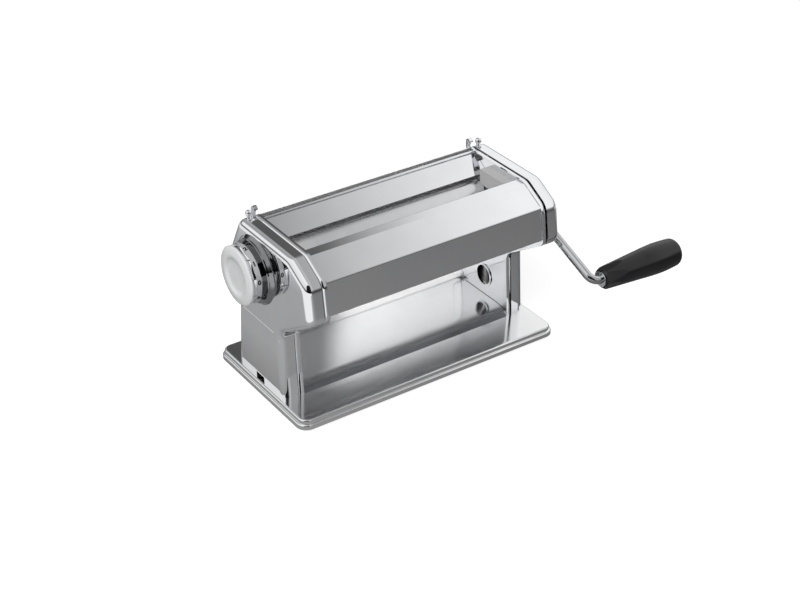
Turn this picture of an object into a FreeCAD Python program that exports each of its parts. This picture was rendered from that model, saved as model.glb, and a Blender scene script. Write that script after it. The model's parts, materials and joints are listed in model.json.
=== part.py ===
import FreeCAD, Part
import math
import os
from FreeCAD import Vector

# A hand-cranked pasta roller machine. Millimetres, +Z up, +X towards the crank, +Y to the back.
# The origin is on the table under the middle of the base.

# Rollers and their setting range
roller_length = 180.0
roller_diameter = 27.0
widest_gap = 3.6
finest_gap = 0.6
dial_settings = 10
front_journal_diameter = 14.0
rear_journal_diameter = 17.0
rear_bore_diameter = 12.6
axis_height = 106.0
dial_axis_y = 6.0

# Base
base_overhang = 5.6
base_front_margin = 34.5
base_back_margin = 22.0
base_top = 9.5
base_sheet = 1.5
base_corner_radius = 9.0
rim_step_in = 1.6
rim_step_height = 5.8
rim_edge_radius = 1.6
foot_lift = 1.8
foot_pad_length = 27.0
foot_pad_depth = 25.0
foot_pad_inset = 2.0
foot_pad_radius = 6.0
floor_rise = 2.2
floor_front_y = -17.0
floor_ramp = 13.0
floor_bend_radius = 100.0
floor_clearance = 0.4

# Sides: an inner frame and an outer cover, two pressed pans back to back
frame_sheet = 1.2
frame_flange = 4.2
frame_edge_radius = 2.6
cover_sheet = 1.2
cover_depth = 12.4
cover_edge_radius = 6.0
cover_bevel_share = 0.6
pan_gap = 0.6
head_rise = 32.0
head_front_y = -70.0
head_front_drop = 12.0
slope_top_y = -42.0
slope_foot_y = -65.5
slope_foot_rise = 19.0
head_rear_y = 45.0
rear_slope_top_y = 30.0
rear_slope_foot_rise = 3.5
head_rear_drop = 24.0
leg_top_drop = 41.0
leg_front_top_y = -24.5
leg_front_foot_y = -28.5
leg_back_top_y = 36.0
leg_back_foot_y = 41.0
corner_radius = 9.0
wide_corner_radius = 12.6
leg_corner_radius = 10.0
crease_drop = 2.5
crease_width = 0.8
crease_depth = 0.4
leg_hole_diameter = 17.0
leg_hole_y = 7.0
leg_hole_z = 29.5
leg_hole_ring = 1.6
leg_hole_ring_height = 0.8
index_boss_radius = 2.0
index_boss_height = 0.5
index_boss_y = -32.0
index_boss_rise = 5.0
clamp_slot_length = 11.4
clamp_slot_height = 3.2
hook_radius = 2.6
hook_wire = 1.5
hook_rise = 3.4
hook_width = 3.4
knob_radius = 2.7
knob_stem_radius = 1.6
knob_rise = 3.0
knob_inset = 4.0

# Sheet covers between the sides
cover_panel_sheet = 1.0
panel_end_clearance = 0.2
flush_inset = 0.9
front_panel_lift = 4.6
front_flange_drop = 2.0
front_flange_depth = 10.4
front_lip_depth = 2.0
front_lip_height = 12.0
bend_radius = 2.4
tab_overlap = 5.0
tab_setback = 7.0
hem_radius = 1.3
hopper_top_y = 23.4
hopper_top_drop = 1.4
hopper_tab_share = 0.55
hopper_foot_y = 7.6
hopper_foot_rise = 17.5
hopper_curl_radius = 1.4

# Side stack, from the roller end outwards
end_guide_clearance = 0.6
end_guide_thickness = 2.8
end_guide_rise = 23.6
end_guide_height = 12.6
end_guide_front_y = -30.5
end_guide_back_y = 5.0
end_guide_ledge = 2.4
block_thickness = 4.8
block_half_height = 11.0
block_front = 12.0
block_back = 22.0
stack_clearance = 0.6
block_wall_clearance = 0.4
running_clearance = 0.08
rail_height = 4.0
rail_overrun = 1.0
bush_wall = 2.0
bush_flange = 2.6
bush_flange_thickness = 1.6

# Gears with long teeth, in mesh over the whole setting range
gear_teeth = 10
gear_width = 4.2
gear_pressure_angle = 25.0
gear_addendum = 2.9
gear_dedendum = 3.3
gear_backlash = 0.22
gear_gap = 0.8
gear_flank_points = 6

# Adjuster: a shaft through the hollow rear roller with a scroll plate at each end
shaft_diameter = 8.0
shaft_hex = 6.6
scroll_radius = 24.0
scroll_thickness = 2.6
scroll_track_radius = 21.0
scroll_track_depth = 1.8
scroll_end_margin = 4.0
follower_pin_diameter = 3.2
follower_clearance = 0.1
shaft_bush_radius = 7.0
shaft_bush_flange = 10.0

# Dial, from the left cover outwards
collar_flange_radius = 25.0
collar_flange_thickness = 1.6
collar_flare = 2.2
collar_radius = 20.5
collar_length = 3.6
collar_edge = 1.0
collar_flange_edge = 0.5
collar_spigot_radius = 12.0
collar_nut_radius = 15.0
collar_nut_thickness = 0.5
index_track_radius = 16.0
index_track_width = 3.4
index_track_depth = 2.2
index_pin_diameter = 3.0
dial_gap = 0.4
dial_radius = 22.0
dial_rim_step = 1.5
dial_length = 9.6
dial_web = 1.4
scale_ring_width = 3.6
scale_ring_flare = 1.2
scale_ring_sheet = 1.0
dial_flats = 10
dial_flat_width = 4.6
dial_flat_depth = 0.7
face_inset = 0.5
face_dome = 3.4
face_depth = 3.6
face_rim = 0.8
face_recess_radius = 16.5
face_recess_width = 3.0
face_dish = 1.5
face_dish_edge = 1.2
face_sheet = 1.0
spring_wire = 1.0
spring_radius = 6.4
retainer_radius = 8.2
retainer_thickness = 0.8
retainer_screw_radius = 3.6
retainer_screw_head = 0.8
retainer_gap = 0.3

# Crank
crank_rod_diameter = 7.0
crank_flat = 2.6
crank_socket_clearance = 0.12
crank_socket_depth = 22.0
crank_standoff = 3.0
crank_lean = 11.6
crank_reach_y = -70.5
crank_reach_z = -43.5
crank_inner_bend = 8.0
crank_outer_bend = 8.0
crank_hole_diameter = 17.0
grip_standoff = 8.5
grip_length = 77.0
grip_neck_radius = 9.0
grip_neck_chamfer = 1.4
grip_belly_radius = 12.4
grip_belly_at = 0.76
grip_waist_radius = 11.3
grip_waist_at = 0.46
grip_end_radius = 11.2
grip_flats = 6
grip_flat_reach = 7.9
grip_end_round = 5.5
grip_bore_clearance = 0.08
grip_end_wall = 6.0
grip_washer_radius = 6.4
grip_washer_thickness = 1.2

# Scrapers, tie rods and fasteners
scraper_bar = 6.0
scraper_blade = 0.8
scraper_gap = 0.35
scraper_drop = 9.0
scraper_out = 8.0
scraper_angle = 55.0
tie_rod_diameter = 8.0
tie_rod_rises = [(-54.0, 12.0), (-54.0, -5.0), (34.0, -20.0)]
post_radius = 3.6
stud_radius = 2.5
foot_block_front_y = -18.0
foot_block_back_y = 32.0
foot_block_height = 12.0
base_screw_radius = 2.0
base_screw_head_radius = 3.8
base_screw_head_height = 2.0
base_screw_inset = 8.0
base_screw_grip = 8.0

# Places that follow from the sizes above
roller_half = roller_length / 2
roller_radius = roller_diameter / 2
setting_travel = widest_gap - finest_gap
dial_range = math.radians(360.0 / dial_settings * (dial_settings - 1))
rear_axis_y = dial_axis_y + setting_travel / 2
front_axis_y = rear_axis_y - roller_diameter - widest_gap
guide_in_x = roller_half + end_guide_clearance
guide_out_x = guide_in_x + end_guide_thickness
block_in_x = guide_out_x + stack_clearance
block_out_x = block_in_x + block_thickness
wall_in_x = block_out_x + block_wall_clearance
wall_out_x = wall_in_x + frame_sheet
flange_edge_x = wall_out_x - frame_flange
rim_x = wall_out_x + pan_gap
cover_out_x = rim_x + cover_depth
cover_in_x = cover_out_x - cover_sheet
gear_in_x = wall_out_x + gear_gap
gear_out_x = gear_in_x + gear_width
left_scroll_in_x = gear_out_x + stack_clearance
right_scroll_in_x = wall_out_x + 2 * stack_clearance
panel_half = flange_edge_x - panel_end_clearance
tab_half = wall_in_x - panel_end_clearance
base_length = 2 * (cover_out_x + base_overhang)
base_front_y = leg_front_foot_y - base_front_margin
base_back_y = leg_back_foot_y + base_back_margin
head_top = axis_height + head_rise
head_front_low_z = axis_height - head_front_drop
slope_foot_z = axis_height + slope_foot_rise
rear_slope_foot_z = axis_height + rear_slope_foot_rise
head_rear_low_z = axis_height - head_rear_drop
leg_top_z = axis_height - leg_top_drop
crease_height = leg_top_z - crease_drop
front_panel_low_z = head_front_low_z + front_panel_lift
hopper_top_z = head_top - hopper_top_drop
hopper_foot_z = axis_height + hopper_foot_rise
end_guide_top = axis_height + end_guide_rise
end_guide_low = end_guide_top - end_guide_height
tie_rod_places = [(y, axis_height + rise) for y, rise in tie_rod_rises]
dial_rim_radius = dial_radius + dial_rim_step
scale_ring_radius = dial_radius + scale_ring_flare
face_radius = dial_rim_radius - face_inset
crank_plane_x = cover_out_x + crank_standoff
crank_end_x = crank_plane_x + crank_lean
grip_start_x = crank_end_x + grip_standoff
front_axis = (front_axis_y, axis_height)
rear_axis = (rear_axis_y, axis_height)
dial_axis = (dial_axis_y, axis_height)

# Shared shapes


def place(y, z, x=0.0):
    return Vector(x, y, z)


def rod_x(radius, x0, x1, centre):
    low = min(x0, x1)
    return Part.makeCylinder(radius, abs(x1 - x0), place(centre[0], centre[1], low), Vector(1, 0, 0))


def slab(x0, x1, y0, y1, z0, z1):
    corner = Vector(min(x0, x1), min(y0, y1), min(z0, z1))
    return Part.makeBox(abs(x1 - x0), abs(y1 - y0), abs(z1 - z0), corner)


def corner_arc(before, corner, after, radius):
    to_before = (before - corner).normalize()
    to_after = (after - corner).normalize()
    half = math.acos(max(-1.0, min(1.0, to_before.dot(to_after)))) / 2
    reach = radius / math.tan(half)
    middle_way = (to_before + to_after).normalize()
    middle = corner + middle_way * (radius / math.sin(half) - radius)
    return corner + to_before * reach, middle, corner + to_after * reach


def rounded_wire(points, radii, closed=True):
    count = len(points)
    edges = []
    stops = []
    for i, point in enumerate(points):
        ends = not closed and i in (0, count - 1)
        if ends or radii[i] <= 0:
            stops.append((point, None, point))
        else:
            stops.append(corner_arc(points[i - 1], point, points[(i + 1) % count], radii[i]))
    for i, (enter, middle, leave) in enumerate(stops):
        if middle is not None:
            edges.append(Part.Arc(enter, middle, leave).toShape())
        if i == count - 1 and not closed:
            break
        target = stops[(i + 1) % count][0]
        if leave.distanceToPoint(target) > 1e-6:
            edges.append(Part.LineSegment(leave, target).toShape())
    return Part.Wire(edges)


def extrude_x(wire, x0, x1):
    flat = wire.copy()
    flat.translate(Vector(x0, 0, 0))
    return Part.Face(flat).extrude(Vector(x1 - x0, 0, 0))


def offset_line(points, distance):
    # The same open line, moved by a distance to its right, with its corners kept sharp.
    moved = []
    count = len(points)
    for i, point in enumerate(points):
        sides = []
        if i > 0:
            sides.append((point - points[i - 1]).normalize())
        if i < count - 1:
            sides.append((points[i + 1] - point).normalize())
        normals = [Vector(0, way.z, -way.y) for way in sides]
        if len(normals) == 1:
            moved.append(point + normals[0] * distance)
        else:
            middle = (normals[0] + normals[1]).normalize()
            moved.append(point + middle * (distance / middle.dot(normals[0])))
    return moved


def bent_sheet(points, thickness, radius, x0, x1):
    # A folded sheet: the given line is its outer skin, and the thickness goes to the line's right.
    inner = offset_line(points, thickness)
    count = len(points)
    turns = []
    for i in range(1, count - 1):
        first = points[i] - points[i - 1]
        second = points[i + 1] - points[i]
        turns.append(first.y * second.z - first.z * second.y)
    outer_radii = [0] + [radius if turn < 0 else radius - thickness for turn in turns] + [0]
    inner_radii = [0] + [radius - thickness if turn < 0 else radius for turn in turns] + [0]
    outer_wire = rounded_wire(points, outer_radii, closed=False)
    inner_wire = rounded_wire(inner, inner_radii, closed=False)
    start = Part.LineSegment(inner[0], points[0]).toShape()
    end = Part.LineSegment(points[-1], inner[-1]).toShape()
    wire = Part.Wire(Part.__sortEdges__(outer_wire.Edges + [end] + inner_wire.Edges + [start]))
    return extrude_x(wire, x0, x1)


def mirror_x(shape):
    return shape.mirror(Vector(0, 0, 0), Vector(1, 0, 0))


def slot_x(radius, x0, x1, start, end):
    shape = rod_x(radius, x0, x1, start).fuse(rod_x(radius, x0, x1, end))
    bridge = slab(x0, x1, start[0], end[0], start[1] - radius, start[1] + radius)
    return shape.fuse(bridge).removeSplitter()


def turned_x(points, radii, centre):
    # A turned piece about a line along X, from (x, radius) points on its half section.
    flat = rounded_wire([Vector(x, radius, 0) for x, radius in points], radii)
    solid = Part.Face(flat).revolve(Vector(0, 0, 0), Vector(1, 0, 0), 360)
    solid.translate(place(centre[0], centre[1]))
    return solid


def save(shape, name):
    os.makedirs("parts", exist_ok=True)
    shape.exportStep("parts/" + name + ".step")


def save_group(shapes, name):
    save(Part.makeCompound(shapes), name)


# Base: a pressed plate with a stepped rim, hollow below

corner_signs = ((-1, -1), (1, -1), (1, 1), (-1, 1))

def base_prism(inset, z0, z1):
    half_length = base_length / 2 - inset
    ends_y = {-1: base_front_y + inset, 1: base_back_y - inset}
    radius = base_corner_radius - inset
    corners = [Vector(sx * half_length, ends_y[sy], z0) for sx, sy in corner_signs]
    wire = rounded_wire(corners, [radius] * len(corners))
    return Part.Face(wire).extrude(Vector(0, 0, z1 - z0))


def soften_top(solid, radius):
    top = solid.BoundBox.ZMax
    rim = [edge for edge in solid.Edges if edge.BoundBox.ZMin > top - 1e-6]
    return solid.makeFillet(radius, rim)


def base_screw_centres():
    middle_x = (wall_out_x + cover_in_x) / 2
    ends = (foot_block_front_y + base_screw_inset, foot_block_back_y - base_screw_inset)
    return [(side * middle_x, y) for side in (-1, 1) for y in ends]


lower_rim = soften_top(base_prism(0.0, foot_lift, rim_step_height), rim_edge_radius)
upper_rim = soften_top(base_prism(rim_step_in, foot_lift, base_top), rim_edge_radius)
base_hollow = base_prism(rim_step_in + base_sheet, foot_lift, base_top - base_sheet)
base_plate = lower_rim.fuse(upper_rim).removeSplitter().cut(base_hollow)


def raised_floor(half_width, y0, y1, drop):
    # The floor pressed up between the legs, with a ramp at its front, as the space below its skin.
    top = base_top + floor_rise - drop
    below = base_top - base_sheet - drop
    foot = base_top - drop
    ramp_foot_y = floor_front_y - floor_ramp
    points = [place(y1, below), place(y1, top), place(floor_front_y, top), place(ramp_foot_y, foot)]
    points.append(place(ramp_foot_y, below))
    wire = rounded_wire(points, [0, 0, floor_bend_radius, 0, 0])
    return extrude_x(wire, -half_width, half_width).common(
        slab(-half_width, half_width, y0, y1, below, top))


floor_half = flange_edge_x - floor_clearance
floor_wide_half = wall_in_x - floor_clearance
floor_back_y = leg_back_foot_y - flush_inset - cover_panel_sheet - 2 * floor_clearance
leg_edge = frame_sheet + frame_edge_radius + floor_clearance
floor_wide_y = (leg_front_foot_y + leg_edge, leg_back_top_y - leg_edge)
floor_foot_y = floor_front_y - floor_ramp
base_floor = raised_floor(floor_half, floor_foot_y, floor_back_y, 0.0)
base_floor = base_floor.fuse(raised_floor(floor_wide_half, floor_wide_y[0], floor_wide_y[1], 0.0))
base_plate = base_plate.fuse(base_floor).removeSplitter()
floor_hollow = raised_floor(floor_half - base_sheet, floor_foot_y, floor_back_y - base_sheet, base_sheet)
base_plate = base_plate.cut(floor_hollow)
for x, y in base_screw_centres():
    base_plate = base_plate.cut(Part.makeCylinder(base_screw_radius, base_top, Vector(x, y, 0)))
save(base_plate, "base_plate")

pads = []
pad_out_x = base_length / 2 - rim_step_in - base_sheet - foot_pad_inset
pad_edge = rim_step_in + base_sheet + foot_pad_inset
pad_out_y = {-1: base_front_y + pad_edge, 1: base_back_y - pad_edge}
for sx, sy in corner_signs:
    inner = (pad_out_x - foot_pad_length, pad_out_y[sy] - sy * foot_pad_depth)
    spread = (inner, (pad_out_x, inner[1]), (pad_out_x, pad_out_y[sy]), (inner[0], pad_out_y[sy]))
    corners = [Vector(sx * x, y, 0) for x, y in spread]
    wire = rounded_wire(corners, [foot_pad_radius] * len(corners))
    pads.append(Part.Face(wire).extrude(Vector(0, 0, base_top - base_sheet)))
save_group(pads, "base_feet")

# Sides


def leg_line(top_y, foot_y, z):
    return top_y + (foot_y - top_y) * (leg_top_z - z) / (leg_top_z - base_top)


def side_outline():
    below = base_top - 2 * leg_corner_radius
    points = [
        (rear_slope_top_y, head_top),
        (slope_top_y, head_top),
        (slope_foot_y, slope_foot_z),
        (head_front_y, head_front_low_z),
        (leg_front_top_y, leg_top_z),
        (leg_line(leg_front_top_y, leg_front_foot_y, below), below),
        (leg_line(leg_back_top_y, leg_back_foot_y, below), below),
        (leg_back_top_y, leg_top_z),
        (head_rear_y, head_rear_low_z),
        (head_rear_y, rear_slope_foot_z),
    ]
    wide = wide_corner_radius
    radii = [corner_radius, wide, wide, corner_radius, leg_corner_radius, corner_radius, corner_radius,
             leg_corner_radius, corner_radius, wide]
    return rounded_wire([place(y, z) for y, z in points], radii)


outline = side_outline()
above_base = slab(-base_length, base_length, -base_length, base_length, base_top, 2 * head_top)


def end_rim(solid, end_x):
    return [edge for edge in solid.Edges if all(abs(v.Point.x - end_x) < 1e-6 for v in edge.Vertexes)]


def pan(open_x, wall_x, thickness, edge_radius, inner_bevel):
    # A pressed pan with the side outline: a flat wall, a rounded edge and a flange.
    skin = extrude_x(outline, open_x, wall_x)
    skin = skin.makeFillet(edge_radius, end_rim(skin, wall_x))
    hollow_x = wall_x - thickness
    hollow = extrude_x(outline.makeOffset2D(-thickness), open_x, hollow_x)
    if inner_bevel > 0:
        hollow = hollow.makeChamfer(inner_bevel, end_rim(hollow, hollow_x))
    return skin.cut(hollow).common(above_base)


def hook():
    # The curled tab at the back of the flange that an accessory hangs on.
    x0 = flange_edge_x + frame_sheet / 2
    x1 = x0 + hook_width
    curl_y = rear_slope_top_y
    curl_z = head_top + hook_rise
    curl = rod_x(hook_radius, x0, x1, (curl_y, curl_z))
    curl = curl.cut(rod_x(hook_radius - hook_wire, x0, x1, (curl_y, curl_z)))
    mouth = slab(x0, x1, curl_y - 2 * hook_radius, curl_y, curl_z - hook_radius, curl_z)
    stem_back = curl_y + hook_radius
    stem = slab(x0, x1, stem_back - hook_wire, stem_back, head_top - 2 * hook_radius, curl_z)
    return curl.cut(mouth).fuse(stem).removeSplitter()


journal_slot_radius = rear_journal_diameter / 2 + stack_clearance
rear_axis_fine = (rear_axis_y - setting_travel, axis_height)
pin_rest = (dial_axis_y + scroll_track_radius, axis_height)
pin_fine = (pin_rest[0] - setting_travel, axis_height)
bush_radius = front_journal_diameter / 2 + bush_wall


def side_frame():
    shape = pan(flange_edge_x, wall_out_x, frame_sheet, frame_edge_radius, 0.0).fuse(hook())
    hole_ring = leg_hole_diameter / 2 + leg_hole_ring
    ring_in_x = wall_in_x - leg_hole_ring_height
    shape = shape.fuse(rod_x(hole_ring, ring_in_x, wall_out_x, (leg_hole_y, leg_hole_z)))
    x0, x1 = flange_edge_x, wall_out_x + frame_sheet
    cuts = [
        rod_x(bush_radius, x0, x1, front_axis),
        slot_x(journal_slot_radius, x0, x1, rear_axis_fine, rear_axis),
        slot_x(follower_pin_diameter / 2 + stack_clearance, x0, x1, pin_fine, pin_rest),
        rod_x(leg_hole_diameter / 2, x0, x1, (leg_hole_y, leg_hole_z)),
    ]
    cuts += [rod_x(stud_radius, x0, x1, centre) for centre in tie_rod_places]
    for tool in cuts:
        shape = shape.cut(tool)
    return shape.removeSplitter()


def side_cover():
    inner_bevel = (cover_edge_radius - cover_sheet) * cover_bevel_share
    shape = pan(rim_x, cover_out_x, cover_sheet, cover_edge_radius, inner_bevel)
    crease_front = leg_line(leg_front_top_y, leg_front_foot_y, crease_height) + cover_edge_radius
    crease_back = leg_line(leg_back_top_y, leg_back_foot_y, crease_height) - cover_edge_radius
    crease = slab(cover_out_x - crease_depth, cover_out_x + 1, crease_front, crease_back,
                  crease_height, crease_height + crease_width)
    shape = shape.cut(crease)
    knob_x = rim_x + knob_inset
    knob_y = rear_slope_top_y - knob_radius
    stem_foot = Vector(knob_x, knob_y, head_top - cover_sheet)
    stem = Part.makeCylinder(knob_stem_radius, knob_rise + cover_sheet, stem_foot)
    ball = Part.makeSphere(knob_radius, Vector(knob_x, knob_y, head_top + knob_rise))
    return shape.fuse([stem, ball]).removeSplitter()


right_frame = side_frame()
right_cover = side_cover()
left_cover = mirror_x(right_cover)
right_cover = right_cover.cut(rod_x(crank_hole_diameter / 2, rim_x, cover_out_x + 1, front_axis))
left_cover = left_cover.cut(rod_x(collar_spigot_radius, -rim_x, -cover_out_x - 1, dial_axis))
slot_half = clamp_slot_length / 2
clamp_slot = slab(-rim_x, -cover_out_x - 1, leg_hole_y - slot_half, leg_hole_y + slot_half,
                  base_top, base_top + clamp_slot_height)
left_cover = left_cover.cut(clamp_slot)
index_boss_centre = (index_boss_y, axis_height + index_boss_rise)
index_boss = rod_x(index_boss_radius, -cover_in_x, -cover_out_x - index_boss_height, index_boss_centre)
left_cover = left_cover.fuse(index_boss).removeSplitter()
save(right_frame, "right_side_frame")
save(mirror_x(right_frame), "left_side_frame")
save(right_cover, "right_side_cover")
save(left_cover, "left_side_cover")

# Sheet panels between the side frames


def panel(points):
    # A flush sheet between the flanges, with a tab on each straight run that tucks under the flange.
    shape = bent_sheet(points, cover_panel_sheet, bend_radius, -panel_half, panel_half)
    behind = offset_line(points, cover_panel_sheet)
    for start, end in zip(behind, behind[1:]):
        setback = (end - start).normalize() * tab_setback
        run = [start + setback, end - setback]
        for side in (-1, 1):
            tab_root = side * (panel_half - tab_overlap)
            shape = shape.fuse(bent_sheet(run, cover_panel_sheet, bend_radius, tab_root, side * tab_half))
    return shape.removeSplitter()


def along(start, end, z):
    share = (z - start.z) / (end.z - start.z)
    return start + (end - start) * share


front_edge = [
    place(head_front_y, head_front_low_z),
    place(slope_foot_y, slope_foot_z),
    place(slope_top_y, head_top),
]
front_edge = offset_line(front_edge, flush_inset)
front_low = along(front_edge[0], front_edge[1], front_panel_low_z)
front_high = along(front_edge[1], front_edge[2], head_top - front_flange_drop)
flange_back = front_high + Vector(0, front_flange_depth, 0)
lip = flange_back + Vector(0, front_lip_depth, -front_lip_height)
front_cover = panel([front_low, front_edge[1], front_high])
front_flange = bent_sheet([front_edge[1], front_high, flange_back, lip], cover_panel_sheet, bend_radius,
                          -panel_half, panel_half)
front_hem = rod_x(hem_radius, -panel_half, panel_half, (front_low.y + hem_radius, front_low.z))
save(front_cover.fuse([front_flange, front_hem]).removeSplitter(), "front_cover")

hopper_foot = place(hopper_foot_y, hopper_foot_z)
hopper_top = place(hopper_top_y, hopper_top_z - hopper_curl_radius)
hopper_tab = hopper_foot + (hopper_top - hopper_foot) * hopper_tab_share
hopper = bent_sheet([hopper_foot, hopper_top], cover_panel_sheet, bend_radius, -panel_half, panel_half)
hopper_ends = bent_sheet([hopper_foot, hopper_tab], cover_panel_sheet, bend_radius, -tab_half, tab_half)
hopper = hopper.fuse(hopper_ends)
hopper_curl = rod_x(hopper_curl_radius, -panel_half, panel_half, (hopper_top.y, hopper_top.z))
save(hopper.fuse(hopper_curl).removeSplitter(), "hopper_back_panel")

rear_edge = [
    place(rear_slope_top_y, head_top),
    place(head_rear_y, rear_slope_foot_z),
    place(head_rear_y, head_rear_low_z),
    place(leg_back_top_y, leg_top_z),
    place(leg_back_foot_y, base_top),
]
rear_edge = offset_line(rear_edge, flush_inset)
rear_edge[0] = along(rear_edge[0], rear_edge[1], hopper_top_z)
rear_edge[-1] = along(rear_edge[-2], rear_edge[-1], base_top + panel_end_clearance)
save(panel(rear_edge), "rear_cover")

# Hopper end guides: they close the throat over the roller ends


def end_guide():
    plate = slab(guide_in_x, guide_out_x, end_guide_front_y, end_guide_back_y, end_guide_low, end_guide_top)
    ledge = slab(guide_in_x, wall_in_x, end_guide_front_y, end_guide_back_y,
                 end_guide_top - end_guide_ledge, end_guide_top)
    return plate.fuse(ledge).removeSplitter()


right_guide = end_guide()
save(right_guide, "right_end_guide")
save(mirror_x(right_guide), "left_end_guide")

# Tie rods between the frames, with posts that carry the covers

tie_rods = []
posts = []
for centre in tie_rod_places:
    rod = rod_x(tie_rod_diameter / 2, -wall_in_x, wall_in_x, centre)
    stud = rod_x(stud_radius, -wall_out_x - post_radius, wall_out_x + post_radius, centre)
    tie_rods.append(rod.fuse(stud).removeSplitter())
    post = rod_x(post_radius, wall_out_x, cover_in_x, centre).cut(
        rod_x(stud_radius, wall_out_x, wall_out_x + post_radius, centre))
    posts += [post, mirror_x(post)]
save_group(tie_rods, "tie_rods")
save_group(posts, "cover_posts")

# Foot blocks and the screws that hold the sides on the base

screw_top = base_top + base_screw_grip
blocks = []
for side in (-1, 1):
    block = slab(side * wall_out_x, side * cover_in_x, foot_block_front_y, foot_block_back_y,
                 base_top, base_top + foot_block_height)
    blocks.append(block.cut(clamp_slot))
screws = []
for i, (x, y) in enumerate(base_screw_centres()):
    under = base_top - base_sheet
    hole = Part.makeCylinder(base_screw_radius, base_screw_grip, Vector(x, y, base_top))
    blocks[i // 2] = blocks[i // 2].cut(hole)
    shank = Part.makeCylinder(base_screw_radius, screw_top - under, Vector(x, y, under))
    head = Part.makeCylinder(base_screw_head_radius, base_screw_head_height,
                             Vector(x, y, under - base_screw_head_height))
    screws.append(shank.fuse(head).removeSplitter())
save_group(blocks, "foot_blocks")
save_group(screws, "base_screws")

# Front roller with its bushes


def crank_section(radius, flat, x0, x1):
    keep = slab(x0, x1, front_axis_y - radius, front_axis_y + radius,
                axis_height - radius, axis_height + flat)
    return rod_x(radius, x0, x1, front_axis).common(keep)


socket_mouth_x = wall_out_x + gear_gap
front_roller = rod_x(roller_radius, -roller_half, roller_half, front_axis)
front_roller = front_roller.fuse(rod_x(front_journal_diameter / 2, -gear_out_x, socket_mouth_x, front_axis))
socket_radius = crank_rod_diameter / 2 + crank_socket_clearance
socket_end_x = socket_mouth_x - crank_socket_depth
socket = crank_section(socket_radius, crank_flat + crank_socket_clearance, socket_end_x, socket_mouth_x)
save(front_roller.removeSplitter().cut(socket), "front_roller")

bushes = []
bush_bore = front_journal_diameter / 2 + running_clearance
bush = rod_x(bush_radius, wall_in_x - bush_flange_thickness, wall_out_x + gear_gap / 2, front_axis)
bush = bush.fuse(rod_x(bush_radius + bush_flange, wall_in_x - bush_flange_thickness, wall_in_x, front_axis))
bush = bush.removeSplitter().cut(rod_x(bush_bore, 0, cover_out_x, front_axis))
save(bush, "right_roller_bush")
save(mirror_x(bush), "left_roller_bush")

# Rear roller: hollow, so that the adjuster shaft passes through it

rear_roller = rod_x(roller_radius, -roller_half, roller_half, rear_axis)
rear_roller = rear_roller.fuse(rod_x(rear_journal_diameter / 2, -gear_out_x, block_out_x, rear_axis))
rear_bore = rod_x(rear_bore_diameter / 2, -cover_out_x, cover_out_x, rear_axis)
rear_roller = rear_roller.removeSplitter().cut(rear_bore)
save(rear_roller, "rear_roller")

# Gears

pitch_radius = (roller_diameter + finest_gap) / 2
gear_base_radius = pitch_radius * math.cos(math.radians(gear_pressure_angle))
gear_tip_radius = pitch_radius + gear_addendum
gear_root_radius = pitch_radius - gear_dedendum


def involute(radius):
    turn = math.acos(gear_base_radius / radius)
    return math.tan(turn) - turn


def gear_face(start_angle):
    # Teeth are listed by angle about the axle, from +Y towards +Z.
    half_pitch_tooth = math.pi / (2 * gear_teeth) - gear_backlash / (2 * pitch_radius)
    at_base = half_pitch_tooth + involute(pitch_radius)

    def point(radius, angle):
        return place(radius * math.cos(angle), radius * math.sin(angle))

    step = (gear_tip_radius - gear_base_radius) / (gear_flank_points - 1)
    radii = [gear_base_radius + step * i for i in range(gear_flank_points)]
    edges = []
    for tooth in range(gear_teeth):
        middle = start_angle + 2 * math.pi * tooth / gear_teeth
        rising = [point(r, middle - at_base + involute(r)) for r in radii]
        falling = [point(r, middle + at_base - involute(r)) for r in reversed(radii)]
        for flank in (rising, falling):
            curve = Part.BSplineCurve()
            curve.interpolate(flank)
            edges.append(curve.toShape())
        edges.append(Part.Arc(rising[-1], point(gear_tip_radius, middle), falling[0]).toShape())
        root_in = point(gear_root_radius, middle - at_base)
        root_out = point(gear_root_radius, middle + at_base)
        edges.append(Part.LineSegment(root_in, rising[0]).toShape())
        edges.append(Part.LineSegment(falling[-1], root_out).toShape())
        gap_middle = middle + math.pi / gear_teeth
        next_in = point(gear_root_radius, middle + 2 * math.pi / gear_teeth - at_base)
        edges.append(Part.Arc(root_out, point(gear_root_radius, gap_middle), next_in).toShape())
    return Part.Wire(Part.__sortEdges__(edges))


def gear(centre, start_angle, bore_radius):
    solid = extrude_x(gear_face(start_angle), -gear_out_x, -gear_in_x)
    solid.translate(place(centre[0], centre[1]))
    return solid.cut(rod_x(bore_radius, -gear_out_x, -gear_in_x, centre))


save(gear(front_axis, 0.0, front_journal_diameter / 2), "drive_gear")
save(gear(rear_axis, math.pi + math.pi / gear_teeth, rear_journal_diameter / 2), "driven_gear")

# Bearing blocks of the rear roller, on rails, moved by the scroll plates


def bearing_block(scroll_in_x):
    block = slab(block_in_x, block_out_x, rear_axis_y - block_front, rear_axis_y + block_back,
                 axis_height - block_half_height, axis_height + block_half_height)
    block = block.cut(rod_x(rear_journal_diameter / 2 + running_clearance, 0, cover_out_x, rear_axis))
    pin_end = scroll_in_x + scroll_track_depth - stack_clearance / 2
    return block.fuse(rod_x(follower_pin_diameter / 2, block_out_x, pin_end, pin_rest)).removeSplitter()


save(bearing_block(right_scroll_in_x), "right_bearing_block")
save(mirror_x(bearing_block(left_scroll_in_x)), "left_bearing_block")

rails = []
rail_front = rear_axis_y - block_front - setting_travel - rail_overrun
rail_back = rear_axis_y + block_back + rail_overrun
for side in (-1, 1):
    for way in (-1, 1):
        near = axis_height + way * (block_half_height + running_clearance)
        far = near + way * rail_height
        rails.append(slab(side * block_in_x, side * wall_in_x, rail_front, rail_back, near, far))
save_group(rails, "block_rails")

# Adjuster shaft and scroll plates


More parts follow.
